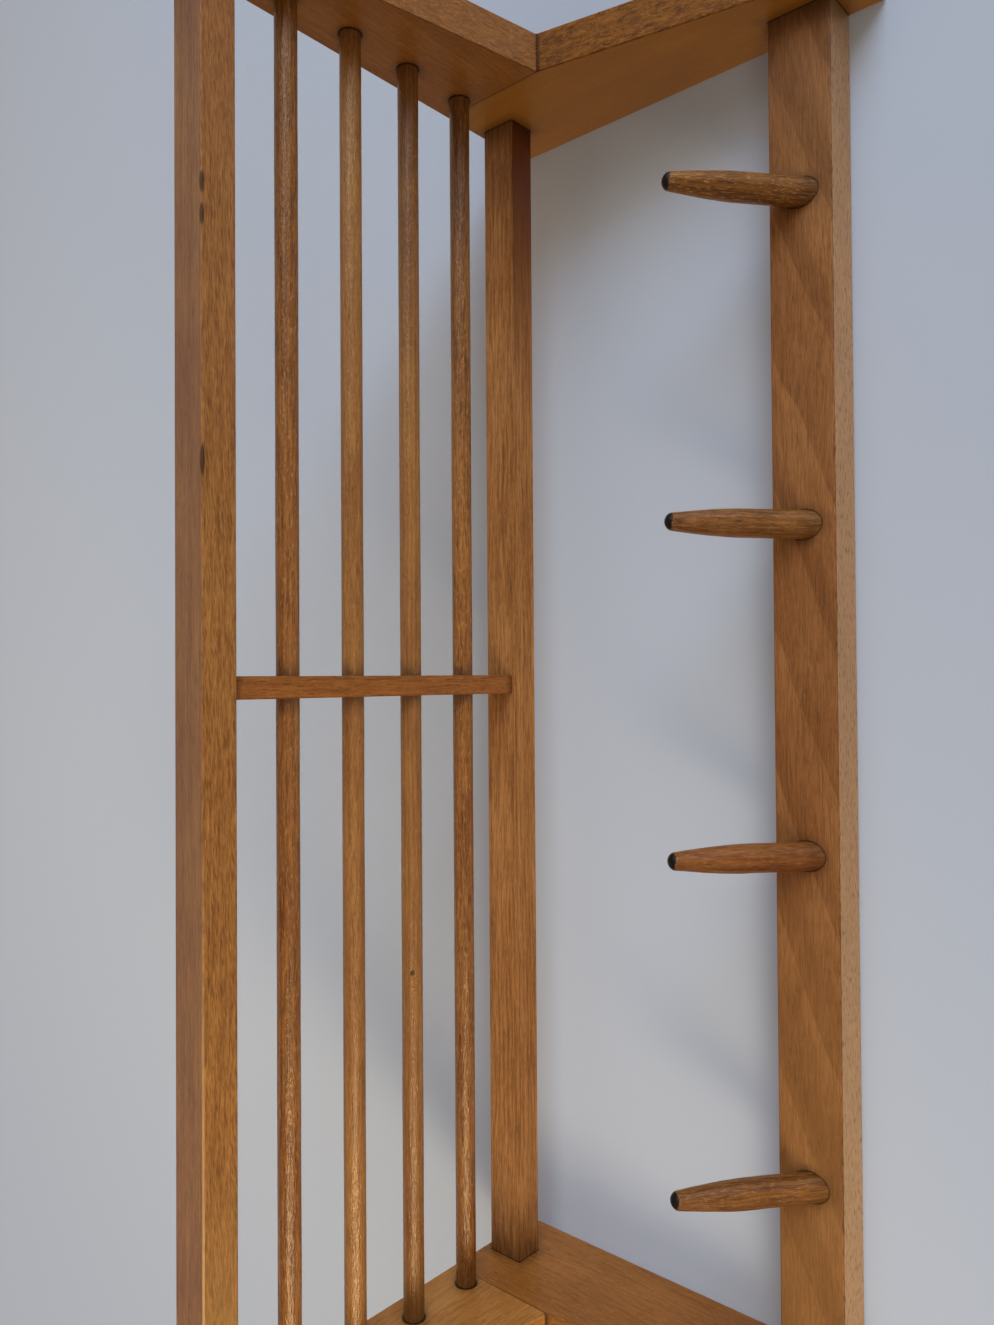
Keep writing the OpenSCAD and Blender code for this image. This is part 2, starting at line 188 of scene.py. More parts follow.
def in_the_log(tree, look, pith, turn):
    """Where a point lies in the log, in millimetres, with the slow and the fine bends of the grain.

    pith is a point of the log's middle and turn the rotation that lays local X along the grain."""
    here = add(tree, "ShaderNodeTexCoord").outputs
    frame_of_log = {0: here["Object"], "Location": pith, "Rotation": turn, "Scale": (MM, MM, MM)}
    mm = add(tree, "ShaderNodeMapping", frame_of_log, vector_type="TEXTURE")
    wandering = pushed(tree, mm, drawn_out(tree, mm, 150, 32, 1.0, "Color"), look["wander"])
    bent = pushed(tree, wandering, drawn_out(tree, mm, 13, 5, 1.0, "Color"), look["ripple"])
    along, across, up = add(tree, "ShaderNodeSeparateXYZ", {0: bent}).outputs
    flat = add(tree, "ShaderNodeCombineXYZ", {"Y": across, "Z": up})
    radius = add(tree, "ShaderNodeVectorMath", {0: flat}, operation="LENGTH").outputs["Value"]
    # how squarely the face looks toward the pith or away from it, and along the grain
    facing = add(tree, "ShaderNodeMapping", {0: here["Normal"], "Rotation": turn}, vector_type="TEXTURE")
    outward = add(tree, "ShaderNodeVectorMath", {0: flat}, operation="NORMALIZE")
    cut = add(tree, "ShaderNodeVectorMath", {0: facing, 1: outward}, operation="DOT_PRODUCT")
    cut_size = add(tree, "ShaderNodeMath", {0: cut.outputs["Value"]}, operation="ABSOLUTE")
    end_axis = add(tree, "ShaderNodeSeparateXYZ", {0: facing})
    end_size = add(tree, "ShaderNodeMath", {0: end_axis}, operation="ABSOLUTE")
    return {"here": here["Object"], "normal": here["Normal"], "mm": mm, "bent": bent, "along": along,
            "across": across, "up": up, "radius": radius, "cut": cut_size, "end": end_size}


def year_masks(tree, look, log):
    """Masks of the late wood of each year and of the years that grew dark as a whole.

    A face that looks toward the pith or away from it shows few of them."""
    lean = {0: log["along"], 1: look["lean"], 2: log["radius"]}
    leaning = add(tree, "ShaderNodeMath", lean, operation="MULTIPLY_ADD")
    years = add(tree, "ShaderNodeMath", {0: leaning, 1: look["ring_mm"]}, operation="DIVIDE")
    part_year = add(tree, "ShaderNodeMath", {0: years}, operation="FRACT")
    late = {"Value": part_year, "From Min": 0.2, "From Max": 0.97, "To Max": look["ring"]}
    late_wood = add(tree, "ShaderNodeMapRange", late, interpolation_type="SMOOTHERSTEP")
    slow = {"W": years, "Scale": look["band"], "Detail": 1.5, "Roughness": 0.6}
    year_tone = add(tree, "ShaderNodeTexNoise", slow, noise_dimensions="1D")
    dark_year = fade(tree, year_tone, 0.4, 0.66, look["figure"])
    shown = add(tree, "ShaderNodeMapRange",
                {"Value": log["cut"], "From Min": 0.6, "From Max": 0.95, "To Min": 1.0, "To Max": 0.2})
    return [add(tree, "ShaderNodeMath", {0: mask, 1: shown}, operation="MULTIPLY")
            for mask in (late_wood, dark_year)]


def ray_masks(tree, look, log):
    """Masks of where the rays are and of how dark they show, most where a face cuts them across."""
    angle = add(tree, "ShaderNodeMath", {0: log["up"], 1: log["across"]}, operation="ARCTAN2")
    width = {0: angle, 1: look["pith_mm"] / RAY_WIDE_MM}
    round_pith = add(tree, "ShaderNodeMath", width, operation="MULTIPLY")
    slant = {0: log["along"], 1: look["slant"] / RAY_WIDE_MM, 2: round_pith}
    slanting = add(tree, "ShaderNodeMath", slant, operation="MULTIPLY_ADD")
    ray_along = add(tree, "ShaderNodeMath", {0: log["along"], 1: RAY_HIGH_MM}, operation="DIVIDE")
    ray_deep = add(tree, "ShaderNodeMath", {0: log["radius"], 1: RAY_DEEP_MM}, operation="DIVIDE")
    place = add(tree, "ShaderNodeCombineXYZ", {"X": ray_along, "Y": slanting, "Z": ray_deep})
    cell = add(tree, "ShaderNodeTexVoronoi", {"Vector": place, "Scale": 1.0}, feature="F1").outputs
    # only some of the cells hold a ray, and those of the greatest chance the largest
    chance = add(tree, "ShaderNodeSeparateColor", {0: cell["Color"]})
    empty = 1.0 - look["rays"]
    there = add(tree, "ShaderNodeMath", {0: chance, 1: empty}, operation="GREATER_THAN")
    size = add(tree, "ShaderNodeMapRange",
               {"Value": chance, "From Min": empty, "From Max": 1.0, "To Min": 0.2, "To Max": 0.6})
    inside = add(tree, "ShaderNodeMath", {0: size, 1: cell["Distance"]}, operation="SUBTRACT")
    shape = fade(tree, inside, -0.05, 0.3)
    ray = add(tree, "ShaderNodeMath", {0: shape, 1: there}, operation="MULTIPLY")
    strength = add(tree, "ShaderNodeMapRange",
                   {"Value": log["cut"], "From Min": 0.25, "From Max": 0.85,
                    "To Min": look["ray_dark"] * 0.1, "To Max": look["ray_dark"]})
    return ray, add(tree, "ShaderNodeMath", {0: ray, 1: strength}, operation="MULTIPLY")


def undarkened(tree, look, log):
    """The wood's two colours in wide drifts, and in narrow flames where a face cuts the rays across."""
    flame = drawn_out(tree, log["bent"], 7 * look["flame_mm"], look["flame_mm"], 2.0)
    drift = drawn_out(tree, log["mm"], 90, 30, 2.0)
    flamed = add(tree, "ShaderNodeMapRange",
                 {"Value": log["cut"], "From Min": 0.3, "From Max": 0.8,
                  "To Min": look["flame"] * 0.25, "To Max": look["flame"]})
    mood = add(tree, "ShaderNodeMix", {0: flamed, 2: drift, 3: flame}, data_type="FLOAT")
    mellowing = add(tree, "ShaderNodeMapRange", {"Value": mood, "From Min": 0.36, "From Max": 0.64})
    woods = {0: mellowing, 6: shade(look["pale"]), 7: shade(look["mellow"])}
    return add(tree, "ShaderNodeMix", woods, data_type="RGBA").outputs[2]


def beech_body(tree, look, pith, turn):
    """The wood itself: sockets of colour, roughness and height, with the coordinates they came from.

    The noises run from about 0.3 to 0.7, so the limits below say how much of each one shows."""
    log = in_the_log(tree, look, pith, turn)
    late_wood, dark_year = year_masks(tree, look, log)
    ray, dark_ray = ray_masks(tree, look, log)
    fibre = drawn_out(tree, log["bent"], 14, FIBRE_MM, 2.0)
    streak = drawn_out(tree, log["bent"], 40, STREAK_MM, 2.0)
    fibres = add(tree, "ShaderNodeMapRange",
                 {"Value": fibre, "From Min": 0.41, "From Max": 0.64, "To Max": look["fibre"]})
    streaks = add(tree, "ShaderNodeMapRange",
                  {"Value": streak, "From Min": 0.45, "From Max": 0.66, "To Max": look["streak"]})
    masks = {"late wood": late_wood, "dark years": dark_year, "streaks": streaks, "fibres": fibres,
             "checks": fade(tree, fibre, 0.6, 0.69, look["check"]), "rays": dark_ray,
             "end grain": fade(tree, log["end"], 0.75, 0.95)}
    colour = undarkened(tree, look, log)
    for part, tint in DARK_TINTS.items():
        darker = {0: masks[part], 6: colour, 7: shade(tint)}
        colour = add(tree, "ShaderNodeMix", darker, data_type="RGBA", blend_type="MULTIPLY").outputs[2]
    # bright flecks toward the glint colour: partly pale fibres, partly painted glints of the varnish
    fleck = drawn_out(tree, log["bent"], 3.5, BRIGHT_MM, 1.0)
    brighter = {0: fade(tree, fleck, 0.55, 0.72, look["bright"]), 6: colour, 7: shade(look["glint"])}
    colour = add(tree, "ShaderNodeMix", brighter, data_type="RGBA").outputs[2]

    # the varnish sinks a little over rays and between fibres, and lies in short ripples
    sunk = add(tree, "ShaderNodeMath", {0: ray, 1: -0.3, 2: fibre}, operation="MULTIPLY_ADD")
    swell = drawn_out(tree, log["bent"], 3, 1.0, 2.0)
    height = add(tree, "ShaderNodeMath", {0: swell, 1: look["fleck"], 2: sunk}, operation="MULTIPLY_ADD")
    rough = add(tree, "ShaderNodeMapRange",
                {"Value": fibre, "From Min": 0.3, "From Max": 0.7,
                 "To Min": look["rough"] - 0.06, "To Max": look["rough"] + 0.08})
    return {"colour": colour, "rough": rough, "height": height, "gloss": look["gloss"],
            "here": log["here"], "normal": log["normal"]}


def darkened(tree, colour, share, most, tint=GRIME_AND_SHADE_TINT):
    """The colour darkened toward a dark brown: dents, knots, pores, joint lines and arrises, and painted
    shade beside joints and ends; share runs from 0 to 1.
    """
    amount = add(tree, "ShaderNodeMath", {0: share, 1: most}, operation="MULTIPLY")
    darker = {0: amount, 6: colour, 7: shade(tint)}
    return add(tree, "ShaderNodeMix", darker, data_type="RGBA", blend_type="MULTIPLY").outputs[2]


def varnished(tree, output, body, colour, relief_mm):
    """Satin varnish over wood, a dielectric of IOR 1.5 that keeps a little of the grain's relief."""
    relief = {"Height": body["height"], "Strength": 0.6, "Distance": relief_mm * MM}
    bump = add(tree, "ShaderNodeBump", relief)
    skin = add(tree, "ShaderNodeBsdfPrincipled",
               {"Base Color": colour, "Roughness": body["rough"], "IOR": 1.5,
                "Specular IOR Level": body["gloss"], "Normal": bump})
    tree.links.new(skin.outputs[0], output.inputs["Surface"])


def arrises(tree, normal, most):
    """A mask of the rounded edges of a board, where the normal leaves all three axes."""
    size = add(tree, "ShaderNodeVectorMath", {0: normal}, operation="ABSOLUTE")
    parts = add(tree, "ShaderNodeSeparateXYZ", {0: size}).outputs
    return fade(tree, greatest(tree, [parts["X"], parts["Y"], parts["Z"]]), 0.965, 0.82, most)


def old_mark(tree, here, centre, half):
    """A dark mask of a small knot or dent, given by its centre and its half size along each axis."""
    return fade(tree, distance(tree, here, centre, tuple(1 / size for size in half)), 1.0, 0.55)


def at_joint(tree, place, edge, run, soft, line):
    """Masks of the soft shade over a run beside a joint, and of the dark line in the joint."""
    start, full = line
    return [fade(tree, place, edge + run, edge, soft), fade(tree, place, edge + start, edge + full)]


# Sides that a tone can lie on, and the run of a tone that covers its whole side
FRONT = (0, -1, 0)
BELOW = (0, 0, -1)
LEFTWARD = (-1, 0, 0)
LOWER_ARRIS = (0, -0.707, -0.707)
WHOLE = (-1, -0.9)


def side_tone(tree, body, colour, side, tone, share, run):
    """The colour with one side of the piece going over to another tone between two places along X."""
    toward = add(tree, "ShaderNodeVectorMath", {0: body["normal"], 1: side}, operation="DOT_PRODUCT")
    on_side = fade(tree, toward.outputs["Value"], 0.7, 0.98, share)
    x = add(tree, "ShaderNodeSeparateXYZ", {0: body["here"]}).outputs["X"]
    amount = add(tree, "ShaderNodeMath", {0: on_side, 1: fade(tree, x, *run)}, operation="MULTIPLY")
    tones = {0: amount, 6: colour, 7: shade(tone)}
    return add(tree, "ShaderNodeMix", tones, data_type="RGBA").outputs[2]


def varnished_beech(name, changes, pith, turn, relief_mm, grime_and_shade, masks, tones=()):
    """Planed or turned beech under satin varnish, which gives it an amber, softly shining skin.

    changes is what this piece's look has in its own way, masks a function that gives its dark
    places, real marks and painted shade, grime_and_shade how dark they are, and tones the sides
    that go over to another tone, mostly as painted light and shade and in places as wear."""
    material, tree, output = new_material("varnished beech, " + name)
    look = dict(BEECH, **changes)
    body = beech_body(tree, look, pith, turn)
    colour = body["colour"]
    for tone in tones:
        colour = side_tone(tree, body, colour, *tone)
    dark = greatest(tree, masks(tree, body["here"]) + [arrises(tree, body["normal"], look["arris"])])
    varnished(tree, output, body, darkened(tree, colour, dark, grime_and_shade), relief_mm)
    return material


def beech_along_x(name, changes, pith, relief_mm, end_run, marks=None, tones=()):
    """Varnished beech for a piece along X, with painted shade over the last end_run before the arms."""
    def masks(tree, here):
        # painted shade over end_run before each arm, and the dark line of the joint
        ends = at_joint(tree, off_middle(tree, here), INNER_X, -end_run, 0.6, (-0.0012, -0.0003))
        return ends + (marks(tree, here) if marks else [])

    return varnished_beech(name, changes, pith, ALONG_X, relief_mm, grime_and_shade=0.8, masks=masks, tones=tones)


# Dents: the place along the front rail and the half length of each, and half their width and depth
DENTS = ((0.250, 0.007), (0.234, 0.007), (0.113, 0.010))
DENT_HALF = 0.0016
DENT_Y = rail_low.y + 0.0006
DENT_Z = rail_low.z + 0.0002


def edge_dents(tree, here):
    """Three old dents in the lower front arris of the front rail, dark with polish."""
    return [old_mark(tree, here, (x, DENT_Y, DENT_Z), (half, DENT_HALF, DENT_HALF)) for x, half in DENTS]


PORE_SIZE = (0.0045, 0.0008, 0.0008)  # drawn wider than the real 0.1 mm so that they show


def peg_rail_marks(tree, here):
    """A dark rim round each peg on the rail's face with a faint halo of painted shade, and open pores on
    its worn underside.
    """
    masks = []
    for peg_x in PEG_XS:
        mouth = {0: here, "Location": (peg_x, PEG_MOUTH_Y, PEG_MOUTH_Z), "Rotation": PEG_TURN}
        local = add(tree, "ShaderNodeMapping", mouth, vector_type="TEXTURE")
        from_axis = distance(tree, local, (0, 0, 0), (1, 1, 0))
        masks += at_joint(tree, from_axis, PEG_R, 0.006, 0.35, (0.0014, 0.0003))
    place = add(tree, "ShaderNodeSeparateXYZ", {0: here}).outputs
    on_face = fade(tree, place["Y"], PEG_MOUTH_Y + 0.002, PEG_MOUTH_Y + 0.001)
    on_underside = fade(tree, place["Z"], peg_rail_low.z + 0.0015, peg_rail_low.z + 0.0005)
    fine = add(tree, "ShaderNodeVectorMath", {0: here, 1: PORE_SIZE}, operation="DIVIDE")
    pore = add(tree, "ShaderNodeTexNoise", {"Vector": fine, "Scale": 1.0, "Detail": 1.0})
    rims = add(tree, "ShaderNodeMath", {0: greatest(tree, masks), 1: on_face}, operation="MULTIPLY")
    pores = {0: fade(tree, pore, 0.54, 0.66, 0.7), 1: on_underside}
    return [rims, add(tree, "ShaderNodeMath", pores, operation="MULTIPLY")]


def arm_marks(tree, here):
    """Painted shade round whatever enters an arm's inner face with a dark line at its edge, which round the
    rods stands for the shadow in the hole, and the line of the glue joint.
    """
    marks = []
    for low, high in map(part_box, ("front_rail", "back_rail", "peg_rail")):
        centre, half = (low + high) / 2, (high - low) / 2
        off = add(tree, "ShaderNodeVectorMath", {0: here, 1: (0, centre.y, centre.z)}, operation="SUBTRACT")
        size = add(tree, "ShaderNodeVectorMath", {0: off}, operation="ABSOLUTE")
        past = add(tree, "ShaderNodeVectorMath", {0: size, 1: (0, half.y, half.z)}, operation="SUBTRACT")
        parts = add(tree, "ShaderNodeSeparateXYZ", {0: past}).outputs
        away = add(tree, "ShaderNodeMath", {0: parts["Y"], 1: parts["Z"]}, operation="MAXIMUM")
        marks += at_joint(tree, away, 0.0, 0.010, 0.4, (0.0013, 0.0))
    for rod_y in ROD_YS:
        from_axis = distance(tree, here, (0, rod_y, ROD_Z), (0, 1, 1))
        marks += at_joint(tree, from_axis, ROD_R, 0.007, 0.35, (0.0017, 0.0007))
    inner = {0: off_middle(tree, here), 1: INNER_X + 0.0007}
    on_inner_face = add(tree, "ShaderNodeMath", inner, operation="LESS_THAN")
    entering = {0: greatest(tree, marks), 1: on_inner_face}
    y = add(tree, "ShaderNodeSeparateXYZ", {0: here}).outputs["Y"]
    from_joint = add(tree, "ShaderNodeMath", {0: y, 1: JOINT_Y}, operation="SUBTRACT")
    off_joint = add(tree, "ShaderNodeMath", {0: from_joint}, operation="ABSOLUTE")
    return [add(tree, "ShaderNodeMath", entering, operation="MULTIPLY"),
            fade(tree, off_joint, 0.0007, 0.0002, 0.7)]


def batten_marks(tree, here):
    """Painted shade beside the two rails where the batten meets them, and the dark line of each joint."""
    y = add(tree, "ShaderNodeSeparateXYZ", {0: here}).outputs["Y"]
    return (at_joint(tree, y, rail_high.y, 0.008, 0.5, (0.0016, 0.0006))
            + at_joint(tree, y, back_rail_low.y, -0.008, 0.5, (-0.0013, -0.0003)))


# The rods: pale wood, mellow wood, coarseness of the grain, and strength of the painted shade toward the
# right arm
ROD_WOODS = (("#99652c", "#7e4818", 0.6, 0.6), ("#996a34", "#804f22", 0.35, 0.45),
             ("#9d6d36", "#835123", 0.35, 0.15), ("#9e682f", "#834d1d", 0.6, 0.45))
KNOT_ROD = 2
KNOT_AT = (-0.1694, ROD_YS[KNOT_ROD - 1] - 0.0043, ROD_Z - 0.0046)
KNOT_HALF = (0.0024, 0.0020, 0.0020)
RIGHT_SHADE_RUN = (0.1, 0.385)  # the x where the painted shade on a rod starts and where it is darkest


def rod_material(number):
    """A scraped beech dowel: long straight streaks under a varnish that shines more than the boards'.

    It has painted shade beside the batten and toward the right arm. One rod has a pin knot."""
    pale, mellow, grain, right_shade = ROD_WOODS[number - 1]
    rod_y = ROD_YS[number - 1]
    side = number % 2 * 2 - 1

    def marks(tree, here):
        x = add(tree, "ShaderNodeSeparateXYZ", {0: here}).outputs["X"]
        off_batten = off_middle(tree, here, BATTEN_X)
        # the knot, then painted shade toward the right arm and beside the batten
        return [old_mark(tree, here, KNOT_AT, KNOT_HALF), fade(tree, x, *RIGHT_SHADE_RUN, right_shade),
                fade(tree, off_batten, BATTEN_HALF + 0.012, BATTEN_HALF, 0.55)]

    changes = dict(pale=pale, mellow=mellow, rays=0.8, ray_dark=grain, streak=grain, fibre=grain,
                   wander=3.0, pith_mm=25.0, slant=0.0, rough=0.27, gloss=0.55, fleck=3.0, arris=0.0,
                   bright=grain / 3, glint="#cba566", check=1.6 * (grain - 0.3))
    pith = (0.1 * number, rod_y + 0.012, ROD_Z + 0.022 * side)
    return beech_along_x(f"rod {number}", changes, pith, relief_mm=0.24, end_run=0.03, marks=marks)


# The pegs: pale wood, mellow wood, darkness of the fibres, and share of bright flecks, partly painted
# glints
PEG_WOODS = (("#8f5f2b", "#73461c", 0.55, 0.16), ("#824f22", "#673814", 0.4, 0.12),
             ("#926431", "#73471e", 0.6, 0.15), ("#7e4f1b", "#60360f", 0.6, 0.28))
PEG_STAIN = "#1b1310"


def peg_material(number):
    """Turned beech, its open fibres running along the peg, its end dipped in nearly black stain."""
    material, tree, output = new_material(f"varnished beech, peg {number}")
    pale, mellow, fibre, bright = PEG_WOODS[number - 1]
    look = dict(BEECH, pale=pale, mellow=mellow, rays=0.8, ray_dark=0.4, streak=0.6, fibre=fibre,
                wander=2.0, pith_mm=20.0, slant=0.0, rough=0.36, gloss=0.3, fleck=2.4, bright=bright,
                glint="#c29a62", check=fibre - 0.2)
    mouth = Vector((PEG_XS[number - 1], PEG_MOUTH_Y, PEG_MOUTH_Z))
    along_peg = Euler(PEG_TURN).to_matrix() @ Euler(ALONG_Z).to_matrix()
    side = number % 2 * 2 - 1
    pith = mouth + Vector((0.014 * side, 0.004 * number, 0.016))
    body = beech_body(tree, look, tuple(pith), tuple(along_peg.to_euler()))
    from_mouth = {0: body["here"], "Location": tuple(mouth), "Rotation": PEG_TURN}
    local = add(tree, "ShaderNodeMapping", from_mouth, vector_type="TEXTURE")
    reach = add(tree, "ShaderNodeSeparateXYZ", {0: local}).outputs["Z"]
    # the edge of the stain is ragged by up to 3 mm, and painted shade darkens the root where it meets the
    # rail
    ragged = add(tree, "ShaderNodeTexNoise", {"Vector": local, "Scale": 220.0, "Detail": 2.0})
    edge = add(tree, "ShaderNodeMath", {0: ragged, 1: 0.003, 2: reach}, operation="MULTIPLY_ADD")
    tip = fade(tree, edge, PEG_REACH - 0.0016, PEG_REACH - 0.0008)
    root = fade(tree, reach, 0.010, -0.002)
    colour = darkened(tree, body["colour"], root, 0.3)
    stained = darkened(tree, colour, tip, 1.0, PEG_STAIN)
    varnished(tree, output, body, stained, relief_mm=0.16)
    return material


def raw_beech():
    """Raw beech of the pins, pale and matt; the joints hide it."""
    material, tree, output = new_material("raw beech, pins")
    body = beech_body(tree, dict(BEECH, pale="#d3b083", mellow="#c9a273"), (0.02, 0.03, 0.04), ALONG_X)
    skin = add(tree, "ShaderNodeBsdfPrincipled",
               {"Base Color": body["colour"], "Roughness": 0.7, "IOR": 1.5})
    tree.links.new(skin.outputs[0], output.inputs["Surface"])
    return material


def plated_steel(name, tint, rough):
    """Zinc plated steel: a grey metal with a broken shine, mottled every 5 mm or so where it dulled."""
    material, tree, output = new_material("zinc plated steel, " + name)
    here = add(tree, "ShaderNodeTexCoord").outputs["Object"]
    dull = add(tree, "ShaderNodeTexNoise", {"Vector": here, "Scale": 180.0, "Detail": 4.0})
    tone = add(tree, "ShaderNodeMix", {0: dull, 6: shade(tint), 7: shade("#8d8b84")}, data_type="RGBA")
    gloss = add(tree, "ShaderNodeMapRange", {"Value": dull, "To Min": rough - 0.08, "To Max": rough + 0.12})
    relief = add(tree, "ShaderNodeBump", {"Height": dull, "Strength": 0.2, "Distance": 0.1 * MM})
    skin = add(tree, "ShaderNodeBsdfPrincipled",
               {"Base Color": tone.outputs[2], "Metallic": 1.0, "Roughness": gloss, "Normal": relief})
    tree.links.new(skin.outputs[0], output.inputs["Surface"])
    return material


def arm_material(name, changes, pith, turn, tones=()):
    """Varnished beech for one of the four arms."""
    return varnished_beech(name, changes, pith, turn, relief_mm=0.05, grime_and_shade=0.95, masks=arm_marks,
                           tones=tones)


# Materials of the pieces
materials = {
    # the underside is close with dark ray flecks, and the lower front arris is worn pale and carries a
    # painted highlight
    "front_rail": beech_along_x(
        "front rail",
        dict(pale="#a4733a", mellow="#895628", rays=0.95, ray_dark=0.5, slant=0.12, flame=0.7,
             flame_mm=1.0, ripple=1.8, bright=0.18, check=0.2, streak=0.4, fibre=0.5, arris=0.15),
        pith=(0.03, -0.272, 0.09), relief_mm=0.08, end_run=0.035, marks=edge_dents,
        # the front face greyed as a painted sheen, the underside with painted shade toward the right arm
        # and painted light toward the left end, a painted highlight on the lower arris toward the left end
        tones=[(FRONT, "#6f554c", 0.42, WHOLE), (BELOW, "#774a34", 0.3, (-0.05, 0.36)),
               (BELOW, "#ab8a50", 0.35, (-0.2, -0.36)), (LOWER_ARRIS, "#cfa56c", 0.55, (-0.02, -0.3))]),
    # reddish and quiet, with the painted shadow of the right arm on its underside and front toward that end
    "back_rail": beech_along_x(
        "back rail",
        dict(pale="#ad7947", mellow="#9a6635", rays=0.4, ray_dark=0.45, flame=0.2, gloss=0.2,
             streak=0.55, fibre=0.55),
        pith=(0.21, -0.085, 0.06), relief_mm=0.06, end_run=0.02,
        tones=[(BELOW, "#522308", 0.93, (0.13, 0.36)), (FRONT, "#4a2c18", 0.3, (0.30, 0.37))]),
    # wide dark years slant across its face; its underside is worn pale with open pores and painted paler
    # still as a reflection of the wall, and both faces carry painted shade toward the right arm and painted
    # light toward the left end
    "peg_rail": beech_along_x(
        "peg rail",
        dict(pale="#966539", mellow="#88572d", rays=0.5, ray_dark=0.3, ring_mm=26.0, ring=0.65, band=0.9,
             figure=0.4, lean=-0.33, wander=11.0, streak=0.25, fibre=0.5, flame=0.15, bright=0.08),
        pith=(0.0, 0.06, -0.30), relief_mm=0.06, end_run=0.018, marks=peg_rail_marks,
        tones=[(BELOW, "#c6a480", 0.42, WHOLE), (BELOW, "#5e4226", 0.35, (0.2, 0.36)),
               (FRONT, "#4d2f14", 0.30, (0.2, 0.36)), (FRONT, "#95703c", 0.25, (-0.02, -0.35)),
               (BELOW, "#d0ac7c", 0.25, (0.0, -0.3))]),
    # the left arms are plain boards with little figure
    "shelf_arm_left": arm_material(
        "left shelf arm",
        dict(pale="#a77338", mellow="#945e29", rays=0.3, ray_dark=0.3, streak=0.3, fibre=0.4, ring=0.35,
             flame=0.2),
        pith=(-0.50, -0.1, 0.0), turn=ALONG_Y),
    "wall_arm_left": arm_material(
        "left wall arm",
        dict(pale="#935d28", mellow="#824f1e", rays=0.3, ray_dark=0.3, streak=0.3, fibre=0.4, ring=0.4,
             flame=0.2),
        pith=(-0.50, -0.02, -0.1), turn=ALONG_Z),
    # the right arms are flamed, and the wall arm has bright flecks on a front edge darkened with painted
    # shade
    "shelf_arm_right": arm_material(
        "right shelf arm",
        dict(pale="#8f5b26", mellow="#76451a", rays=0.6, ray_dark=0.35, streak=0.4, fibre=0.6, ring=0.3,
             slant=0.04, flame=0.6, flame_mm=1.8, gloss=0.2),
        pith=(0.41, -0.1, 0.10), turn=ALONG_Y,
        tones=[(LEFTWARD, "#8a5820", 0.4, WHOLE), (BELOW, "#a07c60", 0.12, WHOLE)]),
    "wall_arm_right": arm_material(
        "right wall arm",
        dict(pale="#9a5f1c", mellow="#6a3a10", rays=0.6, ray_dark=0.35, streak=0.4, fibre=0.5, ring=0.2,
             ripple=4.0, slant=0.04, flame=0.8, flame_mm=2.4, bright=0.32, glint="#b07c3c", gloss=0.14,
             check=0.2),
        pith=(0.40, 0.08, -0.1), turn=ALONG_Z,
        tones=[(FRONT, "#3d2308", 0.35, WHOLE), (LEFTWARD, "#8f5f24", 0.7, WHOLE)]),
    # a thin reddish board that the rods run through
    "centre_batten": varnished_beech(
        "batten",
        dict(pale="#955c29", mellow="#885222", rays=0.4, streak=0.4, fibre=0.45, arris=0.0),
        pith=(0.03, -0.1, 0.08), turn=ALONG_Y, relief_mm=0.10, grime_and_shade=0.95, masks=batten_marks),
    "hanger_plate_left": plated_steel("left hanger plate", "#b9b5a6", 0.36),
    "hanger_plate_right": plated_steel("right hanger plate", "#b9b5a6", 0.36),
    "hanger_screws": plated_steel("screws", "#a9a699", 0.32),
}
for number in range(1, 5):
    materials[f"shelf_rod_{number}"] = rod_material(number)
    materials[f"coat_peg_{number}"] = peg_material(number)
pins = raw_beech()
for node_name in ("corner_pins", "front_rail_pins", "back_rail_pins", "peg_rail_pins"):
    materials[node_name] = pins

for node_name, material in materials.items():
    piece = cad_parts[node_name]
    piece.data.materials.clear()
    piece.data.materials.append(material)


# Turned pieces, made by node trees
# The sizes that each tree takes; the places are put in for each piece
ROD_SIZES = {
    "Centre": (0.0, 0.0, 0.0),
    "Half Length": rod_boxes[0][1].x,
    "Radius": ROD_R,
    "Ease": 0.8 * MM,  # how far the ends draw in, over the same run
    "Waviness": 0.3 * MM,  # from the lowest to the highest that the noise could give
}
PEG_SIZES = {
    "Mouth": (0.0, 0.0, 0.0),
    "Turn": PEG_TURN,
    "Seat": 14.7 * MM,  # the part inside the hole
    "Straight": 38 * MM,  # from the mouth to where the taper starts
    "Reach": PEG_REACH,
    "Dome": 4.5 * MM,
    "Radius": PEG_R,
    "Tip Radius": 5 * MM,
    "Fullness": 1.45,  # above 1 the taper swells before it draws in
    "Unevenness": 0.5 * MM,  # from the lowest to the highest that the noise could give
}
HEAD_R = 3 * MM
SCREW_SIZES = {
    "Middle": (0.0, screw_high.y, (screw_low.z + screw_high.z) / 2),
    "Apart": 2 * (screw_high.x - HEAD_R),
    "Rise": screw_high.z - screw_low.z - 2 * HEAD_R,
    "Head Radius": HEAD_R,
    "Shank Radius": 1.5 * MM,
    "Length": screw_high.y - screw_low.y,
    "Recess": 3.4 * MM,  # the cross, from end to end
    "Recess Width": 0.85 * MM,  # one bar of it
    "Recess Depth": 2.04 * MM,  # of the bars, half of which lies in the head
    "Seed": 7,
}


def form_tree(name, sizes):
    """An empty geometry tree with named inputs; gives the tree and the sockets to read them from."""
    tree = bpy.data.node_groups.new(name, "GeometryNodeTree")
    tree.interface.new_socket("Geometry", in_out="OUTPUT", socket_type="NodeSocketGeometry")
    for label, value in sizes.items():
        kind = {tuple: "NodeSocketVector", int: "NodeSocketInt", float: "NodeSocketFloat"}[type(value)]
        tree.interface.new_socket(label, in_out="INPUT", socket_type=kind).default_value = value
    tree.interface.new_socket("Finish", in_out="INPUT", socket_type="NodeSocketMaterial")
    return tree, tree.nodes.new("NodeGroupInput").outputs


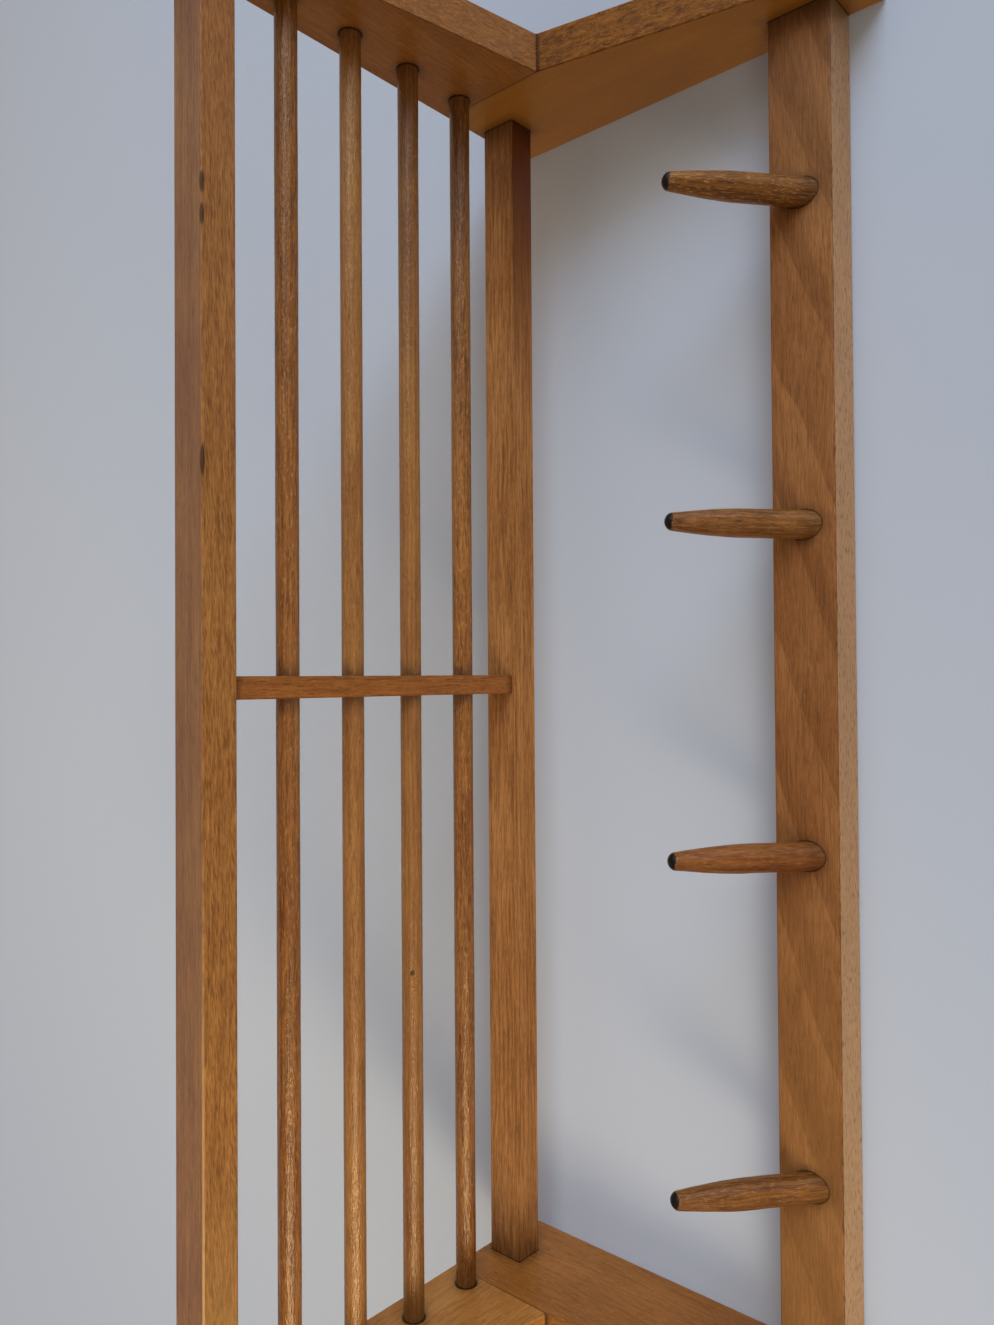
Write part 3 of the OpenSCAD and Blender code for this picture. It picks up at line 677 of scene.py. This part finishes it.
def spine(tree, start, end, axis, count):
    """A straight curve of evenly spaced points, and the place of each point on its axis."""
    line = add(tree, "GeometryNodeCurvePrimitiveLine", {"Start": start, "End": end})
    points = add(tree, "GeometryNodeResampleCurve", {"Curve": line, "Count": count})
    position = add(tree, "GeometryNodeInputPosition")
    return points, add(tree, "ShaderNodeSeparateXYZ", {0: position}).outputs[axis]


def turned_skin(tree, points, axis, place, thick, sides):
    """The closed round skin of a turned piece, its spine's points laid at these places."""
    sized = add(tree, "GeometryNodeSetCurveRadius", {"Curve": points, "Radius": thick})
    position = add(tree, "ShaderNodeCombineXYZ", {axis: place})
    laid = add(tree, "GeometryNodeSetPosition", {"Geometry": sized, "Position": position})
    ring = add(tree, "GeometryNodeCurvePrimitiveCircle", {"Resolution": sides, "Radius": 1.0})
    radius = add(tree, "GeometryNodeInputRadius")
    skin = add(tree, "GeometryNodeCurveToMesh",
               {"Curve": laid, "Profile Curve": ring, "Scale": radius, "Fill Caps": True})
    # where it runs to a point, the last ring becomes one vertex
    return add(tree, "GeometryNodeMergeByDistance", {"Geometry": skin, "Distance": 0.01 * MM})


def out_of_true(tree, geometry, place, detail, amount):
    """The skin, smooth to the eye, moved in and out by half the amount at most, as a noise says."""
    wave = add(tree, "ShaderNodeTexNoise", {"Vector": place, "Scale": 1.0, "Detail": detail})
    centred = add(tree, "ShaderNodeMath", {0: wave, 1: 0.5}, operation="SUBTRACT")
    push = add(tree, "ShaderNodeMath", {0: centred, 1: amount}, operation="MULTIPLY")
    normal = add(tree, "GeometryNodeInputNormal")
    offset = add(tree, "ShaderNodeVectorMath", {0: normal, "Scale": push}, operation="SCALE")
    moved = add(tree, "GeometryNodeSetPosition", {"Geometry": geometry, "Offset": offset})
    return add(tree, "GeometryNodeSetShadeSmooth", {"Geometry": moved})


def close_form(tree, geometry, finish):
    """Real geometry and the finish: the end of each tree."""
    real = add(tree, "GeometryNodeRealizeInstances", {"Geometry": geometry})
    done = add(tree, "GeometryNodeSetMaterial", {"Geometry": real, "Material": finish})
    tree.links.new(done.outputs[0], tree.nodes.new("NodeGroupOutput").inputs[0])


def formed(name, tree, values, node_name):
    """A plain mesh from a tree with these values, in place of a CAD node."""
    piece = bpy.data.objects.new(name, bpy.data.meshes.new(name))
    scene.collection.objects.link(piece)
    modifier = piece.modifiers.new("form", "NODES")
    modifier.node_group = tree
    values = dict(values, Finish=materials[node_name])
    for socket in tree.interface.items_tree:
        if socket.item_type == "SOCKET" and socket.in_out == "INPUT":
            modifier[socket.identifier] = values[socket.name]
    bpy.context.view_layer.update()
    mesh = bpy.data.meshes.new_from_object(piece.evaluated_get(bpy.context.evaluated_depsgraph_get()))
    piece.modifiers.clear()
    piece.data = mesh
    mesh.name = name
    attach(piece, "root")
    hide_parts(node_name)


def rod_form():
    """A round rod along X with eased ends and the slight waviness of a scraped dowel."""
    tree, given = form_tree("turned rod", ROD_SIZES)
    points, share = spine(tree, (-1, 0, 0), (1, 0, 0), "X", 161)
    # the points crowd toward both ends, where the rod is eased
    quarter = add(tree, "ShaderNodeMath", {0: share, 1: math.pi / 2}, operation="MULTIPLY")
    crowded = add(tree, "ShaderNodeMath", {0: quarter}, operation="SINE")
    x = add(tree, "ShaderNodeMath", {0: crowded, 1: given["Half Length"]}, operation="MULTIPLY")
    off = add(tree, "ShaderNodeMath", {0: x}, operation="ABSOLUTE")
    from_end = add(tree, "ShaderNodeMath", {0: given["Half Length"], 1: off}, operation="SUBTRACT")
    less = add(tree, "ShaderNodeMath", {0: given["Ease"], 1: from_end}, operation="SUBTRACT")
    cut = add(tree, "ShaderNodeMath", {0: less, 1: 0.0}, operation="MAXIMUM")
    thick = add(tree, "ShaderNodeMath", {0: given["Radius"], 1: cut}, operation="SUBTRACT")
    skin = turned_skin(tree, points, "X", x, thick, 40)
    moved = add(tree, "GeometryNodeTransform", {"Geometry": skin, "Translation": given["Centre"]})
    # waves about 45 mm long and 6 mm wide
    there = add(tree, "GeometryNodeInputPosition")
    place = add(tree, "ShaderNodeVectorMath", {0: there, 1: (22, 160, 160)}, operation="MULTIPLY")
    close_form(tree, out_of_true(tree, moved, place, 1.0, given["Waviness"]), given["Finish"])
    return tree


def peg_form():
    """A turned peg along Z: a straight body, a full taper and a domed end, a little out of true."""
    tree, given = form_tree("turned peg", PEG_SIZES)
    points, share = spine(tree, (0, 0, 0), (0, 0, 1), "Z", 120)
    # the points crowd toward the dome, so that it is round
    left = add(tree, "ShaderNodeMath", {0: 1.0, 1: share}, operation="SUBTRACT")
    left_squared = add(tree, "ShaderNodeMath", {0: left, 1: 2.0}, operation="POWER")
    crowded = add(tree, "ShaderNodeMath", {0: 1.0, 1: left_squared}, operation="SUBTRACT")
    whole = add(tree, "ShaderNodeMath", {0: given["Seat"], 1: given["Reach"]}, operation="ADD")
    from_foot = add(tree, "ShaderNodeMath", {0: crowded, 1: whole}, operation="MULTIPLY")
    z = add(tree, "ShaderNodeMath", {0: from_foot, 1: given["Seat"]}, operation="SUBTRACT")
    # the radius: the taper, then the dome as a quarter of an ellipse
    dome_start = add(tree, "ShaderNodeMath", {0: given["Reach"], 1: given["Dome"]}, operation="SUBTRACT")
    taper = add(tree, "ShaderNodeMapRange",
                {"Value": z, "From Min": given["Straight"], "From Max": dome_start})
    eased = add(tree, "ShaderNodeMath", {0: taper, 1: given["Fullness"]}, operation="POWER")
    body_r = add(tree, "ShaderNodeMapRange",
                 {"Value": eased, "To Min": given["Radius"], "To Max": given["Tip Radius"]})
    into_dome = add(tree, "ShaderNodeMapRange",
                    {"Value": z, "From Min": dome_start, "From Max": given["Reach"]})
    square = add(tree, "ShaderNodeMath", {0: into_dome, 1: into_dome}, operation="MULTIPLY")
    rest = add(tree, "ShaderNodeMath", {0: 1.0, 1: square}, operation="SUBTRACT")
    round_off = add(tree, "ShaderNodeMath", {0: rest}, operation="SQRT")
    thick = add(tree, "ShaderNodeMath", {0: body_r, 1: round_off}, operation="MULTIPLY")
    skin = turned_skin(tree, points, "Z", z, thick, 64)
    # out of true only where it stands free of its hole, and each peg in its own way
    there = add(tree, "GeometryNodeInputPosition")
    height = add(tree, "ShaderNodeSeparateXYZ", {0: there}).outputs["Z"]
    free = add(tree, "ShaderNodeMapRange", {"Value": height, "From Min": 0.008, "From Max": 0.02})
    amount = add(tree, "ShaderNodeMath", {0: free, 1: given["Unevenness"]}, operation="MULTIPLY")
    apart = add(tree, "ShaderNodeVectorMath", {0: given["Mouth"], 1: (100, 100, 100)}, operation="MULTIPLY")
    place = add(tree, "ShaderNodeVectorMath", {0: there, 1: (150, 150, 45), 2: apart},
                operation="MULTIPLY_ADD")
    worn = out_of_true(tree, skin, place, 2.0, amount)
    turned = add(tree, "GeometryNodeTransform",
                 {"Geometry": worn, "Translation": given["Mouth"], "Rotation": given["Turn"]})
    close_form(tree, turned, given["Finish"])
    return tree


def screw_form():
    """Countersunk screws with a cross recess, one at each corner of an upright oblong, each turned
    by chance as a screwdriver leaves them."""
    tree, given = form_tree("countersunk screws", SCREW_SIZES)
    points, share = spine(tree, (0, 0, 0), (0, 0, 1), "Z", 65)
    # the radius: the cone of the head, then the shank, then the point
    depth = add(tree, "ShaderNodeMath", {0: share, 1: given["Length"]}, operation="MULTIPLY")
    cone = add(tree, "ShaderNodeMath", {0: given["Head Radius"], 1: depth}, operation="SUBTRACT")
    head = add(tree, "ShaderNodeMath", {0: cone, 1: given["Shank Radius"]}, operation="MAXIMUM")
    left = add(tree, "ShaderNodeMath", {0: given["Length"], 1: depth}, operation="SUBTRACT")
    point = add(tree, "ShaderNodeMath", {0: left, 1: 0.5}, operation="MULTIPLY")
    thick = add(tree, "ShaderNodeMath", {0: head, 1: point}, operation="MINIMUM")
    body = turned_skin(tree, points, "Z", depth, thick, 40)
    # the cross recess: two crossed bars taken out of the head
    cutters = add(tree, "GeometryNodeJoinGeometry")
    width = given["Recess Width"]
    for long_way in ("X", "Y"):
        sides = {"X": width, "Y": width, "Z": given["Recess Depth"], long_way: given["Recess"]}
        bar = add(tree, "GeometryNodeMeshCube", {"Size": add(tree, "ShaderNodeCombineXYZ", sides)})
        tree.links.new(bar.outputs[0], cutters.inputs[0])
    cut = add(tree, "GeometryNodeMeshBoolean",
              {"Mesh 1": body, "Mesh 2": cutters, "Self Intersection": True},
              operation="DIFFERENCE", solver="EXACT")
    # one on each corner of the oblong, its head toward the wall
    corners = add(tree, "GeometryNodeMeshGrid",
                  {"Size X": given["Apart"], "Size Y": given["Rise"], "Vertices X": 2, "Vertices Y": 2})
    upright = add(tree, "GeometryNodeTransform",
                  {"Geometry": corners, "Translation": given["Middle"], "Rotation": (math.pi / 2, 0, 0)})
    chance = {2: 0.0, 3: math.pi, "Seed": given["Seed"]}
    spin = add(tree, "FunctionNodeRandomValue", chance, data_type="FLOAT")
    about = add(tree, "ShaderNodeCombineXYZ", {"X": math.pi / 2, "Y": spin.outputs[1]})
    heading = add(tree, "FunctionNodeEulerToRotation", {0: about})
    placed = add(tree, "GeometryNodeInstanceOnPoints",
                 {"Points": upright, "Instance": cut, "Rotation": heading})
    close_form(tree, placed, given["Finish"])
    return tree


rods = rod_form()
for number, rod_y in enumerate(ROD_YS, 1):
    formed(f"rod_{number}_turned", rods, dict(ROD_SIZES, Centre=(0.0, rod_y, ROD_Z)),
           f"shelf_rod_{number}")
pegs = peg_form()
for number, peg_x in enumerate(PEG_XS, 1):
    formed(f"peg_{number}_turned", pegs, dict(PEG_SIZES, Mouth=(peg_x, PEG_MOUTH_Y, PEG_MOUTH_Z)),
           f"coat_peg_{number}")
formed("screws_turned_in", screw_form(), SCREW_SIZES, "hanger_screws")

# Stage: the wall that the rack hangs on, a floor far below, soft light
WALL_GAP = 0.0008  # behind the rack
STAGE_HALF = 3  # of its length along X
WALL_TOP = 2.4
FLOOR_Z = -1.7
FLOOR_FRONT = -4
FLOOR_BACK = 2


def stage_plane(name, start, end, colour):
    """A plain pale plane between two lines along X, each given by its y and z.

    Only the camera sees it, and from its front, so that the light of the room still reaches the
    back of the rack in the other views."""
    mesh = bpy.data.meshes.new(name)
    corners = [(-STAGE_HALF, *start), (STAGE_HALF, *start), (STAGE_HALF, *end), (-STAGE_HALF, *end)]
    mesh.from_pydata(corners, [], [(0, 1, 2, 3)])
    plane = bpy.data.objects.new(name, mesh)
    scene.collection.objects.link(plane)
    material, tree, output = new_material(name + " paint")
    paint = add(tree, "ShaderNodeBsdfDiffuse", {"Color": shade(colour), "Roughness": 0.6})
    clear = add(tree, "ShaderNodeBsdfTransparent")
    seen = add(tree, "ShaderNodeLightPath").outputs["Is Camera Ray"]
    behind = add(tree, "ShaderNodeNewGeometry").outputs["Backfacing"]
    front = add(tree, "ShaderNodeMath", {0: 1.0, 1: behind}, operation="SUBTRACT")
    both = add(tree, "ShaderNodeMath", {0: seen, 1: front}, operation="MULTIPLY")
    mixed = add(tree, "ShaderNodeMixShader", {0: both, 1: clear, 2: paint})
    tree.links.new(mixed.outputs[0], output.inputs["Surface"])
    mesh.materials.append(material)


stage_plane("wall", (WALL_GAP, FLOOR_Z), (WALL_GAP, WALL_TOP), "#b4bbc5")
stage_plane("floor", (FLOOR_FRONT, FLOOR_Z), (FLOOR_BACK, FLOOR_Z), "#d9e2ec")

world = bpy.data.worlds.new("soft room light")
world.use_nodes = True
scene.world = world
tree = world.node_tree
tree.nodes.clear()
room = add(tree, "ShaderNodeBackground", {"Color": shade("#ffebd6"), "Strength": 0.45})
seen_room = add(tree, "ShaderNodeBackground", {"Color": shade("#c3c9d0"), "Strength": 1.0})
to_camera = add(tree, "ShaderNodeLightPath").outputs["Is Camera Ray"]
which = add(tree, "ShaderNodeMixShader", {0: to_camera, 1: room, 2: seen_room})
add(tree, "ShaderNodeOutputWorld", {"Surface": which})


def lamp_holder(name, kind, colour, heading, in_gloss):
    """A lamp of this kind that shines along a heading; in_gloss says whether gloss shows it."""
    lamp = bpy.data.lights.new(name, kind)
    lamp.color = shade(colour)[:3]
    holder = bpy.data.objects.new(name, lamp)
    scene.collection.objects.link(holder)
    holder.rotation_euler = Vector(heading).to_track_quat("-Z", "Y").to_euler()
    holder.visible_glossy = in_gloss
    return holder, lamp


def soft_lamp(name, at, aim, size, power, colour, spread=180, in_gloss=True):
    """A large soft square lamp that looks from one point toward another; spread narrows its beam."""
    holder, lamp = lamp_holder(name, "AREA", colour, Vector(aim) - Vector(at), in_gloss)
    holder.location = at
    lamp.shape = "RECTANGLE"
    lamp.size = size
    lamp.size_y = size
    lamp.energy = power
    lamp.spread = math.radians(spread)


def far_light(name, heading, spread, strength, colour, in_gloss=True):
    """Soft light that comes from far away, heading one way, as from a window of that many degrees."""
    lamp = lamp_holder(name, "SUN", colour, heading, in_gloss)[1]
    lamp.energy = strength
    lamp.angle = math.radians(spread)


soft_lamp("low fill", at=(-0.9, -0.75, -0.78), aim=(-0.2, -0.15, 0.0), size=0.6, power=3.3,
          colour="#fff7ec", in_gloss=False)
soft_lamp("shelf light", at=(-0.9, -0.8, -0.8), aim=(-0.36, -0.24, 0.0), size=0.45, power=0.65,
          colour="#ffe6b4", spread=50)
soft_lamp("low window", at=(1.3, -0.6, -0.6), aim=(0.0, 0.0, -0.1), size=0.8, power=16,
          colour="#b1d6ff", in_gloss=False)
far_light("window", heading=(-0.86, 0.26, 0.52), spread=50, strength=0.6, colour="#fffdfa")
far_light("second window", heading=(-0.7, 0.65, 0.2), spread=55, strength=1.1, colour="#ffffff")
# lights only the back and the top, which the other views show
far_light("room behind", heading=(0.0, -0.75, -0.66), spread=20, strength=1.3, colour="#fff8ee",
          in_gloss=False)

# Camera: below the rack, looking up to the wall, turned so that the rack's length is upright
# Its place, its axes and its lens were fitted to the rack's edges in the photograph
CAMERA_AT = (0.00607, -0.55278, -0.41934)
CAMERA_RIGHT = Vector((-0.006436, 0.665905, -0.746009))
CAMERA_UP = Vector((0.999874, -0.006564, -0.014485))
CAMERA_AHEAD = Vector((0.014542, 0.746008, 0.665778))
camera_data = bpy.data.cameras.new("camera")
camera_data.sensor_width = 36
camera_data.lens = 27.456
camera_data.clip_start = 0.01
camera = bpy.data.objects.new("camera", camera_data)
scene.collection.objects.link(camera)
turned = Matrix((CAMERA_RIGHT, CAMERA_UP, -CAMERA_AHEAD)).transposed().to_4x4()
camera.matrix_world = Matrix.Translation(CAMERA_AT) @ turned
scene.camera = camera

scene.view_settings.view_transform = "Standard"
